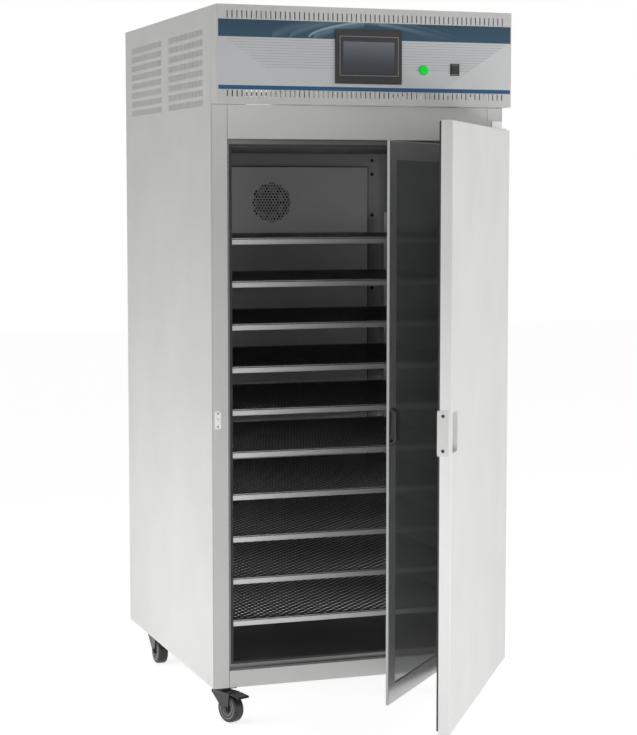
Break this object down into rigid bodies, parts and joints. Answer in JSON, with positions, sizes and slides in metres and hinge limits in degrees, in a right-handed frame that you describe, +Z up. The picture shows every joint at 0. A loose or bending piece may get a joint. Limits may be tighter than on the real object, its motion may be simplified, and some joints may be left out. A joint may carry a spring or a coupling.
{
  "type": "environmental test chamber",
  "caption": "Tall floor-standing climate chamber on casters with a header control panel, an insulated outer door, an inner glass door and perforated shelves.",
  "frame": {"origin": "on the floor under the middle of the cabinet's body", "axes": "+Z up, front towards -Y, +X to the right as seen from the front"},
  "size_m": [0.8285, 1.6277, 1.869],
  "materials": {
    "body_paint": "satin, pale grey",
    "door_paint": "satin, pale grey",
    "stainless": "brushed",
    "seal_rubber": "matt black",
    "foam": "matt foam",
    "door_liner": "satin, pale grey moulding over foam",
    "motor_metal": "dark, satin",
    "fan_plastic": "matt black",
    "coil_metal": "bare",
    "shelf_steel": "brushed",
    "overlay_print": "satin print",
    "panel_black": "fine grain",
    "screen_glass": "gloss",
    "button_green": "gloss, lit",
    "button_metal": "polished",
    "keeper_metal": "zinc plated",
    "smoked_glass": "smoked",
    "caster_black": "satin black",
    "wheel_grey": "matt, dark"
  },
  "bodies": {
    "cabinet": {"base_frame": "body_paint", "left_side_panel": "body_paint", "right_side_panel": "body_paint", "top_panel": "body_paint", "rear_panel": "body_paint", "left_pillar": "body_paint", "right_pillar": "body_paint", "lintel_panel": "body_paint", "sill_panel": "body_paint", "header_box": "body_paint", "throat_frame": "stainless", "inner_liner": "stainless", "duct_cover": "stainless", "shelf_rails": "stainless", "throat_seal": "seal_rubber", "insulation": "foam", "fan_motor": "motor_metal", "air_heater": "motor_metal", "compressor": "motor_metal", "cooling_coil": "coil_metal", "condenser": "coil_metal", "shelf_01": "shelf_steel", "shelf_02": "shelf_steel", "shelf_03": "shelf_steel", "shelf_04": "shelf_steel", "shelf_05": "shelf_steel", "shelf_06": "shelf_steel", "shelf_07": "shelf_steel", "shelf_08": "shelf_steel", "shelf_09": "shelf_steel", "shelf_10": "shelf_steel", "control_overlay": "overlay_print", "touch_panel": "panel_black", "rocker_frame": "panel_black", "power_gland": "panel_black", "touch_screen": "screen_glass", "button_bezel": "button_metal", "strike_keeper": "keeper_metal", "hinge_brackets": "keeper_metal", "caster_plates": "keeper_metal"},
    "outer_door": {"outer_door_pan": "door_paint", "outer_door_liner": "door_liner", "outer_door_gasket": "seal_rubber", "latch_plate": "keeper_metal"},
    "inner_door": {"inner_door_frame": "stainless", "inner_door_glass": "smoked_glass", "inner_door_handle": "panel_black"},
    "fan": {"circulation_fan": "fan_plastic"},
    "rocker": {"rocker_switch": "panel_black"},
    "button": {"push_button": "button_green"},
    "fork_front_left": {"fork_front_left": "caster_black"},
    "wheel_front_left": {"wheel_front_left": "wheel_grey"},
    "pedal_front_left": {"pedal_front_left": "caster_black"},
    "fork_front_right": {"fork_front_right": "caster_black"},
    "wheel_front_right": {"wheel_front_right": "wheel_grey"},
    "pedal_front_right": {"pedal_front_right": "caster_black"},
    "fork_rear_left": {"fork_rear_left": "caster_black"},
    "wheel_rear_left": {"wheel_rear_left": "wheel_grey"},
    "fork_rear_right": {"fork_rear_right": "caster_black"},
    "wheel_rear_right": {"wheel_rear_right": "wheel_grey"}
  },
  "joints": [
    {"name": "outer_door_hinge", "type": "hinge", "parent": "cabinet", "child": "outer_door", "pos_m": [0.4035, -0.475, 0.8], "axis": [0, 0, 1], "range_deg": [-56, 64]},
    {"name": "inner_door_hinge", "type": "hinge", "parent": "cabinet", "child": "inner_door", "pos_m": [0.356, -0.447, 0.8], "axis": [0, 0, 1], "range_deg": [-48.2, 55.2]},
    {"name": "fan_spin", "type": "hinge", "parent": "cabinet", "child": "fan", "pos_m": [0, 0.318, 1.364], "axis": [0, -1, 0], "continuous": true},
    {"name": "rocker_tilt", "type": "hinge", "parent": "cabinet", "child": "rocker", "pos_m": [0.2445, -0.5138, 1.716], "axis": [1, 0, 0], "range_deg": [-6, 6]},
    {"name": "button_press", "type": "slide", "parent": "cabinet", "child": "button", "axis": [0, 1, 0], "range_m": [0, 0.003], "stiffness_N_per_m": 400},
    {"name": "swivel_front_left", "type": "hinge", "parent": "cabinet", "child": "fork_front_left", "pos_m": [-0.373, -0.425, 0.08], "axis": [0, 0, 1], "continuous": true},
    {"name": "roll_front_left", "type": "hinge", "parent": "fork_front_left", "child": "wheel_front_left", "pos_m": [-0.3608, -0.45241, 0.0375], "axis": [0.9135, 0.4067, 0], "continuous": true},
    {"name": "brake_front_left", "type": "hinge", "parent": "fork_front_left", "child": "pedal_front_left", "pos_m": [-0.35836, -0.45789, 0.0795], "axis": [0.9135, 0.4067, 0], "range_deg": [0, 8]},
    {"name": "swivel_front_right", "type": "hinge", "parent": "cabinet", "child": "fork_front_right", "pos_m": [0.373, -0.425, 0.08], "axis": [0, 0, 1], "continuous": true},
    {"name": "roll_front_right", "type": "hinge", "parent": "fork_front_right", "child": "wheel_front_right", "pos_m": [0.34702, -0.41, 0.0375], "axis": [-0.5, -0.866, 0], "continuous": true},
    {"name": "brake_front_right", "type": "hinge", "parent": "fork_front_right", "child": "pedal_front_right", "pos_m": [0.34182, -0.407, 0.0795], "axis": [-0.5, -0.866, 0], "range_deg": [0, 8]},
    {"name": "swivel_rear_left", "type": "hinge", "parent": "cabinet", "child": "fork_rear_left", "pos_m": [-0.373, 0.274, 0.08], "axis": [0, 0, 1], "continuous": true},
    {"name": "roll_rear_left", "type": "hinge", "parent": "fork_rear_left", "child": "wheel_rear_left", "pos_m": [-0.37143, 0.24404, 0.0375], "axis": [0.9986, 0.0523, 0], "continuous": true},
    {"name": "swivel_rear_right", "type": "hinge", "parent": "cabinet", "child": "fork_rear_right", "pos_m": [0.373, 0.274, 0.08], "axis": [0, 0, 1], "continuous": true},
    {"name": "roll_rear_right", "type": "hinge", "parent": "fork_rear_right", "child": "wheel_rear_right", "pos_m": [0.37821, 0.24446, 0.0375], "axis": [0.9848, 0.1736, 0], "continuous": true}
  ],
  "couplings": [
    {"joint": "inner_door_hinge", "follows": "outer_door_hinge", "ratio": 0.8606}
  ]
}
